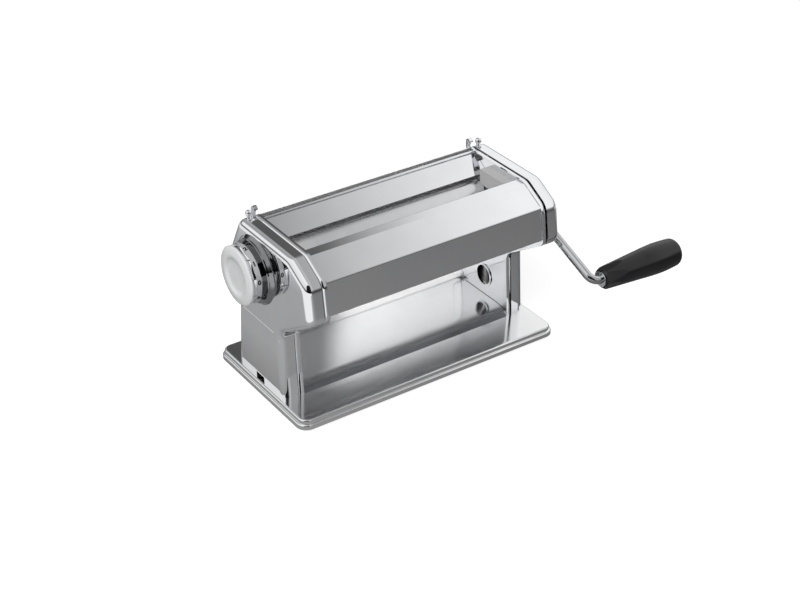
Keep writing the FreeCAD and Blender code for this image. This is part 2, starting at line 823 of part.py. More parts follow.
def scroll_track(x0, x1):
    # A spiral groove: the track draws in by the setting travel over the dial's range.
    width = follower_pin_diameter / 2 + follower_clearance
    margin = scroll_end_margin / scroll_track_radius
    rate = setting_travel / dial_range
    steps = 4 * dial_settings
    angles = [margin - (dial_range + 2 * margin) * i / steps for i in range(steps + 1)]

    def point(angle, side):
        radius = scroll_track_radius + rate * angle + side * width
        return place(radius * math.cos(angle), radius * math.sin(angle))

    edges = []
    for side in (-1, 1):
        curve = Part.BSplineCurve()
        curve.interpolate([point(angle, side) for angle in angles])
        edges.append(curve.toShape())
    for angle in (angles[0], angles[-1]):
        edges.append(Part.LineSegment(point(angle, -1), point(angle, 1)).toShape())
    groove = extrude_x(Part.Wire(Part.__sortEdges__(edges)), x0, x1)
    groove.translate(place(*dial_axis))
    return groove


def scroll_plate(side, scroll_in_x):
    near, far = side * scroll_in_x, side * (scroll_in_x + scroll_thickness)
    plate = rod_x(scroll_radius, near, far, dial_axis)
    plate = plate.cut(rod_x(shaft_diameter / 2, near, far, dial_axis))
    return plate.cut(scroll_track(near, side * (scroll_in_x + scroll_track_depth)))


save(scroll_plate(-1, left_scroll_in_x), "left_scroll_plate")
save(scroll_plate(1, right_scroll_in_x), "right_scroll_plate")

collar_foot_x = -cover_out_x
collar_front_x = collar_foot_x - collar_flare - collar_flange_thickness - collar_length
dial_back_x = collar_front_x - dial_gap
dial_front_x = dial_back_x - dial_length
web_front_x = dial_back_x - dial_web
dish_back_x = dial_front_x + face_dish + face_sheet
retainer_x = dish_back_x + retainer_screw_head + retainer_gap
shaft_end_x = retainer_x + retainer_thickness
shaft_right_x = cover_in_x - running_clearance
shaft = rod_x(shaft_diameter / 2, dial_back_x, shaft_right_x, dial_axis)


def hexagon(across, x0, x1):
    reach = across / math.sqrt(3)
    angles = [k * math.pi / 3 for k in range(6)]
    points = [place(reach * math.cos(angle), reach * math.sin(angle)) for angle in angles]
    solid = extrude_x(rounded_wire(points, [0] * len(points)), x0, x1)
    solid.translate(place(*dial_axis))
    return solid


shaft = shaft.fuse(hexagon(shaft_hex, shaft_end_x, dial_back_x)).removeSplitter()
save(shaft, "adjuster_shaft")

bush_in_x = right_scroll_in_x + scroll_thickness + stack_clearance / 2
shaft_bush = rod_x(shaft_bush_radius, bush_in_x, cover_in_x, dial_axis)
bush_flange_x = cover_in_x - bush_flange_thickness
shaft_bush = shaft_bush.fuse(rod_x(shaft_bush_flange, bush_flange_x, cover_in_x, dial_axis))
shaft_bush = shaft_bush.removeSplitter().cut(
    rod_x(shaft_diameter / 2 + running_clearance, bush_in_x, cover_in_x, dial_axis))
save(shaft_bush, "shaft_end_bush")

# Dial collar, fixed on the left cover

bore = shaft_diameter / 2 + running_clearance
flange_x = collar_foot_x - collar_flare
flange_front_x = flange_x - collar_flange_thickness
collar_section = [
    (-cover_in_x, bore), (collar_front_x, bore), (collar_front_x, collar_radius - collar_edge),
    (collar_front_x + collar_edge, collar_radius), (flange_front_x, collar_radius),
    (flange_front_x, collar_flange_radius - collar_flange_edge),
    (flange_front_x + collar_flange_edge, collar_flange_radius),
    (flange_x, collar_flange_radius), (collar_foot_x, collar_flange_radius + collar_flare),
    (collar_foot_x, collar_spigot_radius), (-cover_in_x, collar_spigot_radius),
]
collar = turned_x(collar_section, [0] * len(collar_section), dial_axis)
track_end_x = collar_front_x + index_track_depth
track_in = rod_x(index_track_radius - index_track_width / 2, collar_front_x, track_end_x, dial_axis)
track_out = rod_x(index_track_radius + index_track_width / 2, collar_front_x, track_end_x, dial_axis)
save(collar.cut(track_out.cut(track_in)), "dial_collar")

# Dial: body, scale ring, face cap, index pin, spring and the shaft's retainer

face_back_x = dial_front_x + face_depth
rim_back_x = face_back_x + face_rim
body_section = [
    (dial_back_x, 0), (dial_back_x, dial_radius), (rim_back_x, dial_radius),
    (rim_back_x, dial_rim_radius), (face_back_x, dial_rim_radius),
    (face_back_x, retainer_radius + stack_clearance),
    (web_front_x, retainer_radius + stack_clearance), (web_front_x, 0),
]
dial_body = turned_x(body_section, [0] * len(body_section), dial_axis)
dial_body = dial_body.cut(hexagon(shaft_hex + 2 * running_clearance, dial_front_x, dial_back_x))
flat_reach = dial_radius - dial_flat_depth
for k in range(dial_flats):
    turn = 360.0 / dial_flats * k
    flat = slab(rim_back_x, dial_back_x - scale_ring_width, flat_reach, dial_rim_radius,
                -dial_flat_width / 2, dial_flat_width / 2)
    flat.rotate(Vector(0, 0, 0), Vector(1, 0, 0), turn)
    flat.translate(place(*dial_axis))
    dial_body = dial_body.cut(flat)
pin_y = dial_axis_y + index_track_radius
dial_body = dial_body.cut(rod_x(index_pin_diameter / 2, web_front_x, dial_back_x, (pin_y, axis_height)))
save(dial_body, "dial_body")

ring_section = [
    (dial_back_x, dial_radius), (dial_back_x, scale_ring_radius),
    (dial_back_x - scale_ring_width, dial_radius + scale_ring_sheet / 2),
    (dial_back_x - scale_ring_width, dial_radius),
]
save(turned_x(ring_section, [0] * len(ring_section), dial_axis), "dial_scale_ring")

dish_floor_x = dial_front_x + face_dish
face_section = [
    (dish_back_x, 0), (dish_back_x, face_recess_radius), (face_back_x, face_recess_radius),
    (face_back_x, face_radius), (dial_front_x, face_radius),
    (dial_front_x, face_recess_radius), (dish_floor_x, face_recess_radius - face_recess_width),
    (dish_floor_x, 0),
]
face_radii = [0, 0, 0, 0, face_dome, face_dish_edge, face_dish_edge, 0]
save(turned_x(face_section, face_radii, dial_axis), "dial_face_cap")

pin_end_x = collar_front_x + index_track_depth / 2
index_pin = rod_x(index_pin_diameter / 2, web_front_x, pin_end_x, (pin_y, axis_height))
save(index_pin, "index_pin")

spring = rod_x(spring_radius, shaft_end_x, web_front_x, dial_axis)
save(spring.cut(rod_x(spring_radius - spring_wire, shaft_end_x, web_front_x, dial_axis)), "dial_spring")

retainer = rod_x(retainer_radius, retainer_x, shaft_end_x, dial_axis)
screw_head = rod_x(retainer_screw_radius, retainer_x - retainer_screw_head, retainer_x, dial_axis)
save(retainer.fuse(screw_head).removeSplitter(), "dial_retainer")

# Crank: a bent rod that plugs into the front roller, and a grip that spins on its end

stub_start = socket_end_x + stack_clearance
grip_axis = (front_axis_y + crank_reach_y, axis_height + crank_reach_z)
grip_end_x = grip_start_x + grip_length
spindle_end = grip_end_x - grip_end_wall
crank_points = [
    place(front_axis[0], front_axis[1], stub_start),
    place(front_axis[0], front_axis[1], crank_plane_x),
    place(grip_axis[0], grip_axis[1], crank_end_x),
    place(grip_axis[0], grip_axis[1], spindle_end),
]
crank_path = rounded_wire(crank_points, [0, crank_inner_bend, crank_outer_bend, 0], closed=False)
start_circle = Part.Wire(Part.Circle(crank_points[0], Vector(1, 0, 0), crank_rod_diameter / 2).toShape())
crank = crank_path.makePipeShell([start_circle], True, False)
flat_cut = slab(stub_start, socket_mouth_x, front_axis_y - crank_rod_diameter,
                front_axis_y + crank_rod_diameter, axis_height + crank_flat, axis_height + crank_rod_diameter)
save(crank.cut(flat_cut), "crank_rod")

washer = rod_x(grip_washer_radius, grip_start_x - grip_washer_thickness - running_clearance,
               grip_start_x - running_clearance, grip_axis)
save(washer.cut(rod_x(crank_rod_diameter / 2, crank_end_x, grip_start_x, grip_axis)), "grip_washer")

grip_bore = crank_rod_diameter / 2 + grip_bore_clearance
bore_end = spindle_end + running_clearance
neck_x = grip_start_x + grip_neck_chamfer
barrel = [
    (neck_x, grip_neck_radius),
    (grip_start_x + grip_waist_at * grip_length, grip_waist_radius),
    (grip_start_x + grip_belly_at * grip_length, grip_belly_radius),
    (grip_end_x, grip_end_radius),
]
barrel_line = [Vector(x, radius, 0) for x, radius in barrel]
taper = Part.LineSegment(barrel_line[0], barrel_line[1]).toShape()
taper_way = (barrel_line[1] - barrel_line[0]).normalize()
end_way = (barrel_line[3] - barrel_line[2]).normalize()
barrel_curve = Part.BSplineCurve()
barrel_curve.interpolate(Points=barrel_line[1:], InitialTangent=taper_way, FinalTangent=end_way)
bore_line = [(bore_end, 0), (bore_end, grip_bore), (grip_start_x, grip_bore)]
neck_edge = (grip_start_x, grip_neck_radius - grip_neck_chamfer)
closing = [barrel[-1], (grip_end_x, 0)] + bore_line + [neck_edge, barrel[0]]
edges = [taper, barrel_curve.toShape()]
for (x0, radius0), (x1, radius1) in zip(closing, closing[1:]):
    edges.append(Part.LineSegment(Vector(x0, radius0, 0), Vector(x1, radius1, 0)).toShape())
grip_half = Part.Face(Part.Wire(Part.__sortEdges__(edges)))
grip = grip_half.revolve(Vector(0, 0, 0), Vector(1, 0, 0), 360)
end_edges = [edge for edge in grip.Edges if edge.BoundBox.XMin > grip_end_x - 1e-6]
grip = grip.makeFillet(grip_end_round, end_edges)
flat_length = grip_waist_at * grip_length
flat_lean = math.degrees(math.atan2(grip_belly_radius - grip_flat_reach, flat_length))
for k in range(grip_flats):
    flat = slab(-flat_length, flat_length, 0, grip_belly_radius, -grip_belly_radius, grip_belly_radius)
    flat.rotate(Vector(0, 0, 0), Vector(0, 0, 1), flat_lean)
    flat.translate(Vector(neck_x, grip_flat_reach, 0))
    flat.rotate(Vector(0, 0, 0), Vector(1, 0, 0), 360.0 / grip_flats * (k + 1 / 2))
    grip = grip.cut(flat)
grip.translate(place(*grip_axis))
save(grip, "crank_grip")

# Scrapers under the rollers


def scraper(axis_y, out, reach_x):
    # A square bar with a thin blade whose edge stays just clear of the roller.
    bar_y = axis_y + out * (roller_radius + scraper_out - scraper_bar / 2)
    bar_z = axis_height - roller_radius - scraper_drop + scraper_bar / 2
    bar = slab(-reach_x, reach_x, bar_y - scraper_bar / 2, bar_y + scraper_bar / 2,
               bar_z - scraper_bar / 2, bar_z + scraper_bar / 2)
    lean = math.radians(scraper_angle)
    near = roller_radius + scraper_gap
    edge = place(axis_y + out * near * math.cos(lean), axis_height - near * math.sin(lean))
    foot = place(bar_y, bar_z)
    way = (foot - edge).normalize()
    side = Vector(0, -way.z, way.y) * (scraper_blade / 2)
    corners = [edge + side, foot + side, foot - side, edge - side]
    blade = extrude_x(rounded_wire(corners, [0] * len(corners)), -roller_half, roller_half)
    return bar.fuse(blade).removeSplitter()


save(scraper(front_axis_y, -1, wall_in_x), "front_scraper")
save(scraper(rear_axis_y, 1, block_in_x), "rear_scraper")
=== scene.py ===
# %% [markdown]
# # A hand-cranked pasta roller machine, dressed for its portrait
#
# The machine is already built as solids in one shared frame: every node sits at the origin with its
# place in its mesh, in metres, +X towards the crank, +Y to the back and +Z up. This lesson lights the
# machine, gives each solid its finish, and models four pieces of the dial by hand: its face, its grip,
# its spring and its numbers.

# %% Load the frame
import json
import math

import bpy
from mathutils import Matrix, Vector


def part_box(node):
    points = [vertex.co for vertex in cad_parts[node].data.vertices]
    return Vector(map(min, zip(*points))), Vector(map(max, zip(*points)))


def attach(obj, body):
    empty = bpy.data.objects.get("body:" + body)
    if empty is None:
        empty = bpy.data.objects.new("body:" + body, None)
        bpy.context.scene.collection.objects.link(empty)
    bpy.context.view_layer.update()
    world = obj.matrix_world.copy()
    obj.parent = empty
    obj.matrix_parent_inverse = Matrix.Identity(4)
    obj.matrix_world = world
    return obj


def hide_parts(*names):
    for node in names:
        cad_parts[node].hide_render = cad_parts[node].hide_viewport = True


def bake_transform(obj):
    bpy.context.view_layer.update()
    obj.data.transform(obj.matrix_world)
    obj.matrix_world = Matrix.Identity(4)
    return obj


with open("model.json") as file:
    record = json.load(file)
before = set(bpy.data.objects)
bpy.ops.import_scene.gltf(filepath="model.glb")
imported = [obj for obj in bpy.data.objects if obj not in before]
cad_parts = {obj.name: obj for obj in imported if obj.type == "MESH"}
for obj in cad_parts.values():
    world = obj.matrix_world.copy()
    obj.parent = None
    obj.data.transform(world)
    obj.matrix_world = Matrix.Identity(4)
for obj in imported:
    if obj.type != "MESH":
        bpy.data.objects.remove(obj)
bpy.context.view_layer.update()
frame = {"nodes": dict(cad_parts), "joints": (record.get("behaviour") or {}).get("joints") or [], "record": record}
nodes = frame["nodes"]
bpy.context.scene.view_settings.view_transform = "Standard"
bpy.ops.object.select_all(action="DESELECT")

# %% [markdown]
# ## Camera
#
# The portrait is taken from the front left, a little above the machine, with a long lens that keeps the
# edges of the base almost parallel. A camera can be turned by hand until the view fits. Here it is given
# the direction that it looks in, because a track rotation also keeps its horizon level.

# %% Place the camera
camera_place = (-0.6164, -0.9148, 0.7285)
camera_looks = Vector((0.4804, 0.7005, -0.5278))
camera_data = bpy.data.cameras.new("portrait_camera")
camera_data.sensor_width = 36.0
camera_data.lens = 74.6
camera_data.clip_end = 20.0
camera = bpy.data.objects.new("portrait_camera", camera_data)
camera.location = camera_place
camera.rotation_euler = camera_looks.to_track_quat("-Z", "Y").to_euler()
bpy.context.scene.collection.objects.link(camera)
bpy.context.scene.camera = camera
print("camera at", camera_place, "lens", round(camera_data.lens, 1), "mm")

# %% [markdown]
# ## Tools for node trees
#
# The tent, the floor and every finish are small graphs of nodes. They could be wired in the shader
# editor; in a script, a few helpers keep the cells short. One feeds an input with a value or a link, one
# adds a node with its inputs fed, and the rest make the nodes that come back again and again: a ramp of
# greys whose stops are easy to read and to move, a soft step, a number from two, one shader from two.

# %% Feed inputs and add nodes
def feed(tree, socket, source):
    if isinstance(source, bpy.types.NodeSocket):
        tree.links.new(source, socket)
    else:
        socket.default_value = source


def add_node(tree, kind, **inputs):
    made = tree.nodes.new(kind)
    for name, source in inputs.items():
        feed(tree, made.inputs[name.replace("_", " ")], source)
    return made


print("node makers ready")

# %% Turn numbers into greys and steps
def grey_ramp(tree, source, stops):
    low, high = stops[0][0], stops[-1][0]
    share = add_node(tree, "ShaderNodeMapRange", Value=source, From_Min=low, From_Max=high)
    made = add_node(tree, "ShaderNodeValToRGB", Fac=share.outputs["Result"])
    elements = made.color_ramp.elements
    while len(elements) < len(stops):
        elements.new(0.5)
    for element, (at, level) in zip(elements, stops):
        element.position = (at - low) / (high - low)
        element.color = (level, level, level, 1.0)
    return made.outputs["Color"]


def soft_step(tree, source, low, high):
    made = add_node(tree, "ShaderNodeMapRange", Value=source, From_Min=low, From_Max=high)
    made.interpolation_type = "SMOOTHSTEP"
    return made.outputs["Result"]


print("ramps and steps ready")

# %% Make one number or one shader from two
def combine(tree, operation, first, second, kind="ShaderNodeMath"):
    made = tree.nodes.new(kind)
    made.operation = operation
    feed(tree, made.inputs[0], first)
    feed(tree, made.inputs[1], second)
    return made.outputs["Value"]


def choose(tree, share, first, second):
    made = add_node(tree, "ShaderNodeMixShader", Fac=share)
    feed(tree, made.inputs[1], first)
    feed(tree, made.inputs[2], second)
    return made.outputs["Shader"]


white = (1.0, 1.0, 1.0, 1.0)
print("combiners ready")

# %% [markdown]
# ## The white tent
#
# Polished sheet has almost no look of its own: it shows the room. Product photographers put chrome in
# a white tent and leave grey gaps in it, so that a face which turns from one side to the other runs
# from white through grey to white and its edges read as dark lines. A tent could be built of planes and
# lamps. The world does it here, because the way that a ray goes is then enough to set its tone.

# %% Read the way each ray goes
world = bpy.data.worlds.new("white_tent")
bpy.context.scene.world = world
world.use_nodes = True
tent_tree = world.node_tree
tent_tree.nodes.clear()
ray = add_node(tent_tree, "ShaderNodeTexCoord")
way = add_node(tent_tree, "ShaderNodeSeparateXYZ", Vector=ray.outputs["Generated"]).outputs
print("world", world.name)

# %% Tone the cloth from left to right
overhead_stops = [(-1.0, 0.85), (-0.45, 1.0), (-0.30, 1.0), (-0.12, 0.45), (0.20, 0.60), (0.42, 0.34),
                  (0.49, 0.72), (0.55, 1.0), (1.0, 0.9)]
behind_stops = [(-1.0, 0.80), (-0.60, 0.95), (-0.42, 1.0), (-0.28, 0.35), (0.20, 0.42), (0.34, 0.06),
                (0.45, 0.12), (0.51, 0.80), (0.55, 1.0), (1.0, 0.8)]
back_y = (0.10, 0.55)
cloth = add_node(tent_tree, "ShaderNodeMixRGB", Fac=soft_step(tent_tree, way["Y"], *back_y),
                 Color1=grey_ramp(tent_tree, way["X"], overhead_stops),
                 Color2=grey_ramp(tent_tree, way["X"], behind_stops))
print("cloth stops", len(overhead_stops), "overhead", len(behind_stops), "behind")

# %% [markdown]
# The tent has an open side at the front left, where the photographer stands: the left cover's front bend
# mirrors it in black. Its hem is dim as well, because the cloth meets the table there and little light
# falls on it, and that draws dark lines along the round pieces.

# %% Open the front left and dim the hem
open_tone = (0.012, 0.012, 0.012, 1.0)
open_x, open_y, open_z = (-0.02, -0.16), (-0.36, -0.48), (0.80, 0.72)
hem_stops = [(0.0, 0.10), (0.05, 0.16), (0.16, 0.36), (0.26, 1.0), (1.0, 1.0)]
low_front = combine(tent_tree, "MULTIPLY", soft_step(tent_tree, way["Y"], *open_y),
                    soft_step(tent_tree, way["Z"], *open_z))
open_share = combine(tent_tree, "MULTIPLY", low_front, soft_step(tent_tree, way["X"], *open_x))
opened = add_node(tent_tree, "ShaderNodeMixRGB", Fac=open_share, Color1=cloth.outputs["Color"],
                  Color2=open_tone)
hemmed = add_node(tent_tree, "ShaderNodeMixRGB", Fac=1.0, Color1=opened.outputs["Color"],
                  Color2=grey_ramp(tent_tree, way["Z"], hem_stops))
hemmed.blend_type = "MULTIPLY"
print("hem stops", len(hem_stops))

# %% [markdown]
# A ray that comes off polished metal sees the tent. Matt surfaces get an even soft light from all sides,
# and the camera sees plain white behind the machine, as on a product page.

# %% Choose what each ray sees
soft_strength = 0.42
tent_light = add_node(tent_tree, "ShaderNodeBackground", Color=hemmed.outputs["Color"], Strength=1.0)
soft_light = add_node(tent_tree, "ShaderNodeBackground", Color=white, Strength=soft_strength)
plain_white = add_node(tent_tree, "ShaderNodeBackground", Color=white, Strength=1.0)
rays = add_node(tent_tree, "ShaderNodeLightPath").outputs
off_surface = choose(tent_tree, rays["Is Glossy Ray"], soft_light.outputs["Background"],
                     tent_light.outputs["Background"])
straight = combine(tent_tree, "MAXIMUM", rays["Is Camera Ray"], rays["Is Transmission Ray"])
seen = choose(tent_tree, straight, off_surface, plain_white.outputs["Background"])
add_node(tent_tree, "ShaderNodeOutputWorld", Surface=seen)
print("world nodes", len(tent_tree.nodes))

# %% [markdown]
# ## Floor
#
# The floor is a sheet of pale paper. To the camera it is lifted to white and keeps the machine's soft shadow.
# Polished metal sees it as a darker grey than the paper is, a painted shade for reflected rays only, with brighter
# cards on it: one to the left for the left cover, a small one at the front left, and a wide one far behind on the
# right. Real cards would show in the picture, so the paper itself glows there, for reflected rays only.

# %% Lay the floor
floor_drop = 0.0002
bpy.ops.mesh.primitive_plane_add(size=6.0, location=(0.0, 0.0, -floor_drop))
floor = bpy.context.object
floor.name = "studio_floor"
floor_paper = bpy.data.materials.new("floor_paper")
floor_paper.use_nodes = True
paper_tree = floor_paper.node_tree
paper_tree.nodes.clear()
floor.data.materials.append(floor_paper)
print("floor", [round(v, 1) for v in floor.dimensions[:2]], "m")

# %% Lay the bright cards
card_corner = (-0.33, -0.20, 0.0)
back_right = (0.7, 0.7, 0.0)
corner_stops = [(0.0, 0.30), (0.12, 0.22), (0.26, 0.10), (0.42, 0.03), (1.0, 0.0)]
left_stops = [(-0.5, 0.75), (-0.26, 0.75), (-0.21, 0.21), (-0.15, 0.19), (-0.10, 0.0), (0.0, 0.0)]
back_stops = [(0.12, 0.0), (0.60, 0.85)]
on_floor = add_node(paper_tree, "ShaderNodeTexCoord").outputs["Object"]
floor_x = add_node(paper_tree, "ShaderNodeSeparateXYZ", Vector=on_floor).outputs["X"]
from_corner = combine(paper_tree, "DISTANCE", on_floor, card_corner, "ShaderNodeVectorMath")
to_back = combine(paper_tree, "DOT_PRODUCT", on_floor, back_right, "ShaderNodeVectorMath")
near_glow = combine(paper_tree, "MAXIMUM", grey_ramp(paper_tree, from_corner, corner_stops),
                    grey_ramp(paper_tree, floor_x, left_stops))
card_glow = combine(paper_tree, "MAXIMUM", near_glow, grey_ramp(paper_tree, to_back, back_stops))
print("card stops", len(corner_stops), len(left_stops), len(back_stops))

# %% Show the floor to each kind of ray
paper_grey = (0.45, 0.45, 0.45, 1.0)
# painted shade: rays off polished metal see the paper darker than it is
painted_shade_in_metal = (0.17, 0.17, 0.17, 1.0)
camera_lift = 0.74
rays = add_node(paper_tree, "ShaderNodeLightPath").outputs
paper_and_painted_shade = add_node(paper_tree, "ShaderNodeMixRGB", Fac=rays["Is Glossy Ray"], Color1=paper_grey,
                      Color2=painted_shade_in_metal)
paper = add_node(paper_tree, "ShaderNodeBsdfDiffuse", Color=paper_and_painted_shade.outputs["Color"])
unlit = add_node(paper_tree, "ShaderNodeEmission", Strength=0.0)
to_metal = add_node(paper_tree, "ShaderNodeEmission", Color=white, Strength=card_glow)
to_camera = add_node(paper_tree, "ShaderNodeEmission", Color=white, Strength=camera_lift)
metal_view = choose(paper_tree, rays["Is Glossy Ray"], unlit.outputs["Emission"],
                    to_metal.outputs["Emission"])
lift = choose(paper_tree, rays["Is Camera Ray"], metal_view, to_camera.outputs["Emission"])
lifted = paper_tree.nodes.new("ShaderNodeAddShader")
feed(paper_tree, lifted.inputs[0], paper.outputs["BSDF"])
feed(paper_tree, lifted.inputs[1], lift)
add_node(paper_tree, "ShaderNodeOutputMaterial", Surface=lifted.outputs["Shader"])
print("floor nodes", len(paper_tree.nodes))

# %% [markdown]
# ## Lamps
#
# Area lamps are a photographer's soft boxes: the larger they are, the softer the shadow. A broad one
# above the front left gives the shadow its side. A low narrow strip reaches the back wall under the
# head, where the tent's light can't, and makes it brighter to the right. Both are kept out of
# reflections, because the tent already shows the metal what it should mirror.

# %% Hang the lamps
def hang_lamp(name, width, height, watts, spread, place, target):
    data = bpy.data.lights.new(name, "AREA")
    data.shape = "RECTANGLE"
    data.size = width
    data.size_y = height
    data.energy = watts
    data.spread = math.radians(spread)
    lamp = bpy.data.objects.new(name, data)
    lamp.location = place
    lamp.rotation_euler = (Vector(target) - lamp.location).to_track_quat("-Z", "Y").to_euler()
    lamp.visible_glossy = False
    bpy.context.scene.collection.objects.link(lamp)
    print(name, watts, "W")


hang_lamp("broad_lamp", width=1.2, height=0.9, watts=22.0, spread=180.0, place=(-0.75, -0.55, 1.2),
          target=(0.0, 0.0, 0.1))
hang_lamp("low_strip", width=0.30, height=0.05, watts=0.12, spread=18.0, place=(-0.30, -0.36, 0.05),
          target=(0.15, 0.04, 0.02))

# %% [markdown]
# ## One surface for every finish
#
# A finish is a colour plus a surface. The haze of a polishing cloth, the marks of a lathe, the grain of
# a brush and the skin of a mould are all a fine noise: finer or coarser, stretched one way or even. So
# one node group makes them all. It is built once, with named inputs, and each finish places it with its
# own values. It reads Object coordinates, which are metres in the shared frame, so a noise of scale 1000
# has grains about a millimetre wide.

# %% Give the group its sockets
surface = bpy.data.node_groups.new("fine_surface", "ShaderNodeTree")
surface.interface.new_socket("Stretch", in_out="INPUT", socket_type="NodeSocketVector")
for name in ("Scale", "Detail", "Rough Low", "Rough High", "Depth"):
    surface.interface.new_socket(name, in_out="INPUT", socket_type="NodeSocketFloat")
for name in ("Roughness", "Cloud"):
    surface.interface.new_socket(name, in_out="OUTPUT", socket_type="NodeSocketFloat")
surface.interface.new_socket("Normal", in_out="OUTPUT", socket_type="NodeSocketVector")
print("surface sockets", len(surface.interface.items_tree))

# %% Wire the grain, the cloud, the roughness and the bump
cloud_scale, cloud_detail = 22.0, 4.0
worn_from, worn_to = 0.12, 0.42
given = surface.nodes.new("NodeGroupInput").outputs
on_piece = add_node(surface, "ShaderNodeTexCoord").outputs["Object"]
stretched = add_node(surface, "ShaderNodeMapping", Vector=on_piece, Scale=given["Stretch"])
grain = add_node(surface, "ShaderNodeTexNoise", Vector=stretched.outputs["Vector"], Scale=given["Scale"],
                 Detail=given["Detail"], Roughness=0.6).outputs["Fac"]
cloud = add_node(surface, "ShaderNodeTexNoise", Vector=on_piece, Scale=cloud_scale,
                 Detail=cloud_detail, Roughness=0.55).outputs["Fac"]
rough = add_node(surface, "ShaderNodeMapRange", Value=combine(surface, "MULTIPLY", grain, cloud),
                 From_Min=worn_from, From_Max=worn_to, To_Min=given["Rough Low"],
                 To_Max=given["Rough High"])
bump = add_node(surface, "ShaderNodeBump", Strength=1.0, Distance=given["Depth"], Height=grain)
add_node(surface, "NodeGroupOutput", Roughness=rough.outputs["Result"], Cloud=cloud,
         Normal=bump.outputs["Normal"])
print("surface nodes", len(surface.nodes))

# %% [markdown]
# Six surfaces cover the whole machine: a mirror polish, a softer polish for the base, turning marks that
# run round the X axis, a brushed grain along the sheet, and two skins of moulded plastic, glossy and dull.
# Each line gives the stretch, the noise's scale and detail, the least and the most roughness, and the
# depth of the bump in metres.

# %% List the surfaces
def surface_values(stretch, scale, detail, rough_low, rough_high, depth):
    return {"Stretch": stretch, "Scale": scale, "Detail": detail, "Rough Low": rough_low,
            "Rough High": rough_high, "Depth": depth}


even = (1.0, 1.0, 1.0)
polished = surface_values(even, 30.0, 2.0, 0.012, 0.04, 0.000006)
soft_polish = surface_values(even, 30.0, 2.0, 0.10, 0.16, 0.000004)
turned = surface_values((1400.0, 6.0, 6.0), 1.0, 2.0, 0.16, 0.26, 0.0000015)
brushed = surface_values((14.0, 900.0, 900.0), 1.0, 3.0, 0.30, 0.42, 0.000015)
glossy = surface_values(even, 700.0, 2.0, 0.17, 0.26, 0.000006)
moulded = surface_values(even, 1500.0, 3.0, 0.30, 0.46, 0.00003)
print("polished", polished)

# %% [markdown]
# ## Finishes
#
# Each finish mixes two close tones with the group's cloud, because no real surface is one flat colour:
# chrome is a touch cooler where it is cleanest, a moulded grip is greyer where it is handled. Metallic,
# coat and specular level are the same all over a finish, so they are set on the shader itself. Each line
# below names a finish and gives its surface, its two tones and its metallic share.

# %% Write the finish maker
cloud_stops = (0.35, 0.65)


def place_surface(tree, values):
    placed = tree.nodes.new("ShaderNodeGroup")
    placed.node_tree = surface
    for name, value in values.items():
        placed.inputs[name].default_value = value
    return placed.outputs


def finish(name, values, tone_low, tone_high, metallic, coat=0.0, specular=0.5):
    made = bpy.data.materials.new(name)
    made.use_nodes = True
    tree = made.node_tree
    look = place_surface(tree, values)
    tones = add_node(tree, "ShaderNodeValToRGB", Fac=look["Cloud"])
    for element, at, tone in zip(tones.color_ramp.elements, cloud_stops, (tone_low, tone_high)):
        element.position = at
        element.color = tone + (1.0,)
    shader = tree.nodes["Principled BSDF"].inputs
    feed(tree, shader["Base Color"], tones.outputs["Color"])
    feed(tree, shader["Roughness"], look["Roughness"])
    feed(tree, shader["Normal"], look["Normal"])
    feed(tree, shader["Metallic"], metallic)
    feed(tree, shader["Coat Weight"], coat)
    feed(tree, shader["Specular IOR Level"], specular)
    print("finish", name)
    return made


print("finish maker ready")

# %% Mix the metals
chrome_sheet = finish("chrome_sheet_polish", polished, (0.83, 0.84, 0.86), (0.88, 0.885, 0.895), 1.0)
wall_sheet = finish("chrome_wall_brushed", brushed, (0.88, 0.885, 0.89), (0.93, 0.93, 0.935), 1.0)
frame_sheet = finish("side_frame_polish", polished, (0.83, 0.84, 0.86), (0.88, 0.885, 0.895), 1.0)
base_sheet = finish("base_sheet_polish", soft_polish, (0.86, 0.865, 0.875), (0.91, 0.913, 0.918), 1.0)
chrome_dial = finish("chrome_dial_polish", polished, (0.82, 0.83, 0.85), (0.88, 0.885, 0.895), 1.0)
# painted dark reflection: the chrome collar gets a dark base colour in place of the dark it mirrors
collar_painted_dark = finish("collar_painted_dark_reflection", polished, (0.24, 0.243, 0.25), (0.30, 0.303, 0.31), 1.0)
crank_steel = finish("crank_rod_polish", polished, (0.56, 0.565, 0.58), (0.63, 0.635, 0.65), 1.0)
satin_roller = finish("roller_satin", turned, (0.74, 0.745, 0.76), (0.80, 0.805, 0.815), 1.0)
satin_ring = finish("scale_ring_satin", turned, (0.36, 0.365, 0.375), (0.42, 0.425, 0.435), 0.25)
plain_steel = finish("plain_steel", turned, (0.66, 0.66, 0.67), (0.74, 0.74, 0.75), 1.0)

# %% Mix the plastics and the rubber
white_face = finish("dial_face_white", moulded, (0.57, 0.575, 0.58), (0.61, 0.615, 0.62), 0.0, coat=0.4)
black_grip = finish("grip_black", glossy, (0.004, 0.004, 0.005), (0.008, 0.008, 0.009), 0.0)
black_rubber = finish("pad_rubber", moulded, (0.012, 0.012, 0.013), (0.020, 0.020, 0.021), 0.0,
                      specular=0.3)
white_nylon = finish("nylon_white", moulded, (0.40, 0.40, 0.40), (0.46, 0.46, 0.46), 0.0)
grey_plastic = finish("guide_grey", moulded, (0.33, 0.34, 0.36), (0.39, 0.40, 0.42), 0.0)

# %% [markdown]
# The back sheet is one piece with two sides: polished outside like the rest, and left dull inside, where
# the dough falls in front of it. Two materials on one mesh would need its faces sorted. The side that
# a point is on shows in its normal instead, so one mask from the normal's Y drives the roughness and the
# metal together. The narrow back flanges of the side frames stand beside that sheet and are dull on the
# same side; a second mask from Y keeps their front flanges bright.

# %% Dull the inside of the back sheet
dull_metal = 0.15
mask_edge = 0.001


